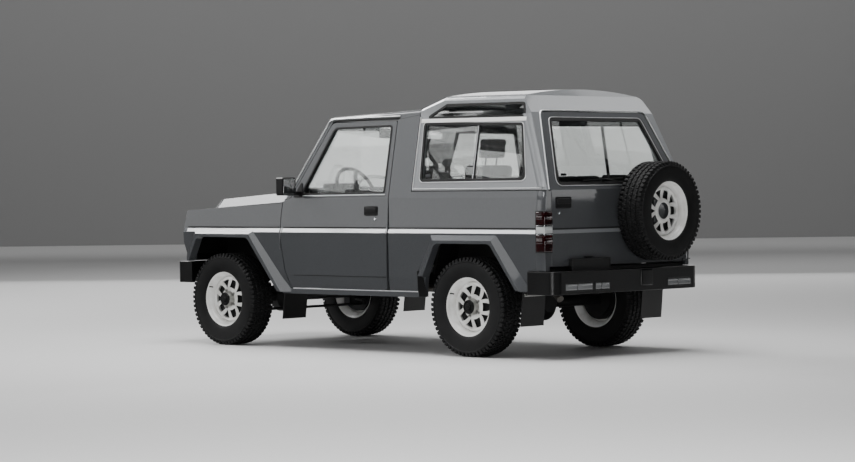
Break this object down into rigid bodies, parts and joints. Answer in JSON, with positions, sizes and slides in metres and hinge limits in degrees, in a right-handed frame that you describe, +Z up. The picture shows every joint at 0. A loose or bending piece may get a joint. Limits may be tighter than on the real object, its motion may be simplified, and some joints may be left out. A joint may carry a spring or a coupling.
{
  "type": "lifted off-road 4x4",
  "caption": "Two-door off-road estate on a ladder frame with raised hardtop, side-hinged tailgate with spare wheel, opening doors and bonnet, and wheels that steer and roll.",
  "frame": {"origin": "on the ground below the middle of the vehicle's box", "axes": "+X to the vehicle's left, +Y to its rear, +Z up"},
  "size_m": [1.9538, 4.051, 1.872],
  "materials": {
    "body_paint": "metallic grey enamel",
    "hardtop_paint": "silver enamel",
    "frame_paint": "satin black chassis paint",
    "grille_plastic": "moulded",
    "lamp_glass": "clear",
    "bumper_plastic": "moulded",
    "window_glass": "tinted",
    "tail_lamp": "moulded lens",
    "cabin_plastic": "grained",
    "seat_fabric": "woven",
    "cast_steel": "as cast, painted",
    "engine_iron": "as cast",
    "exhaust_steel": "weathered",
    "rubber": "moulded",
    "tyre": "moulded",
    "wheel_paint": "pale silver enamel"
  },
  "bodies": {
    "root": {"chassis_frame": "frame_paint", "floor_tub": "body_paint", "body_sides": "body_paint", "front_wings": "body_paint", "inner_wings": "frame_paint", "front_panel": "grille_plastic", "front_lamps": "lamp_glass", "front_bumper": "bumper_plastic", "windscreen_frame": "body_paint", "cab_roof": "body_paint", "hardtop": "hardtop_paint", "body_glass": "window_glass", "rear_lamps": "tail_lamp", "rear_bumper": "bumper_plastic", "dashboard": "cabin_plastic", "steering_column": "cabin_plastic", "seat_left": "seat_fabric", "seat_right": "seat_fabric", "rear_bench": "seat_fabric", "roll_bar": "frame_paint", "front_axle": "cast_steel", "rear_axle": "cast_steel", "leaf_springs": "frame_paint", "engine_block": "engine_iron", "driveline": "cast_steel", "exhaust": "exhaust_steel", "fuel_tank": "frame_paint", "mud_flaps": "rubber"},
    "knuckle_left": {"knuckle_left": "cast_steel"},
    "knuckle_right": {"knuckle_right": "cast_steel"},
    "tie_rod": {"tie_rod": "cast_steel"},
    "steering_wheel": {"steering_wheel": "cabin_plastic"},
    "bonnet": {"bonnet": "body_paint"},
    "door_left": {"door_left": "body_paint", "door_glass_left": "window_glass", "mirror_left": "bumper_plastic"},
    "door_right": {"door_right": "body_paint", "door_glass_right": "window_glass", "mirror_right": "bumper_plastic"},
    "tailgate": {"tailgate": "body_paint", "tailgate_glass": "window_glass", "spare_tyre": "tyre", "spare_rim": "wheel_paint"},
    "wheel_front_left": {"tyre_front_left": "tyre", "rim_front_left": "wheel_paint"},
    "wheel_front_right": {"tyre_front_right": "tyre", "rim_front_right": "wheel_paint"},
    "wheel_rear_left": {"tyre_rear_left": "tyre", "rim_rear_left": "wheel_paint"},
    "wheel_rear_right": {"tyre_rear_right": "tyre", "rim_rear_right": "wheel_paint"}
  },
  "joints": [
    {"name": "steer_left", "type": "hinge", "parent": "root", "child": "knuckle_left", "pos_m": [0.616, -1.4505, 0.35], "axis": [0, 0, 1], "range_deg": [-30, 30]},
    {"name": "steer_right", "type": "hinge", "parent": "root", "child": "knuckle_right", "pos_m": [-0.616, -1.4505, 0.35], "axis": [0, 0, 1], "range_deg": [-30, 30]},
    {"name": "tie_rod_pivot", "type": "hinge", "parent": "knuckle_left", "child": "tie_rod", "pos_m": [0.571, -1.3005, 0.264], "axis": [0, 0, 1], "range_deg": [-32.3, 32.3]},
    {"name": "steering_wheel_turn", "type": "hinge", "parent": "root", "child": "steering_wheel", "pos_m": [0.35, -0.4405, 1.17], "axis": [0, 0.891, 0.454], "range_deg": [-540, 540]},
    {"name": "wheel_spin_front_left", "type": "hinge", "parent": "knuckle_left", "child": "wheel_front_left", "pos_m": [0.692, -1.4505, 0.35], "axis": [1, 0, 0], "continuous": true},
    {"name": "wheel_spin_front_right", "type": "hinge", "parent": "knuckle_right", "child": "wheel_front_right", "pos_m": [-0.692, -1.4505, 0.35], "axis": [1, 0, 0], "continuous": true},
    {"name": "wheel_spin_rear_left", "type": "hinge", "parent": "root", "child": "wheel_rear_left", "pos_m": [0.686, 1.0795, 0.35], "axis": [1, 0, 0], "continuous": true},
    {"name": "wheel_spin_rear_right", "type": "hinge", "parent": "root", "child": "wheel_rear_right", "pos_m": [-0.686, 1.0795, 0.35], "axis": [1, 0, 0], "continuous": true},
    {"name": "bonnet_hinge", "type": "hinge", "parent": "root", "child": "bonnet", "pos_m": [0, -0.8385, 1.07], "axis": [-1, 0, 0], "range_deg": [0, 50]},
    {"name": "door_hinge_left", "type": "hinge", "parent": "root", "child": "door_left", "pos_m": [0.789, -0.814, 0.9], "axis": [0, 0, -1], "range_deg": [0, 65]},
    {"name": "door_hinge_right", "type": "hinge", "parent": "root", "child": "door_right", "pos_m": [-0.789, -0.814, 0.9], "axis": [0, 0, 1], "range_deg": [0, 65]},
    {"name": "tailgate_hinge", "type": "hinge", "parent": "root", "child": "tailgate", "pos_m": [-0.744, 1.8255, 0.9], "axis": [0, 0, 1], "range_deg": [0, 95]}
  ],
  "couplings": [
    {"joint": "steer_right", "follows": "steer_left", "ratio": 1},
    {"joint": "tie_rod_pivot", "follows": "steer_left", "ratio": -1.0765},
    {"joint": "steering_wheel_turn", "follows": "steer_left", "ratio": 18}
  ]
}
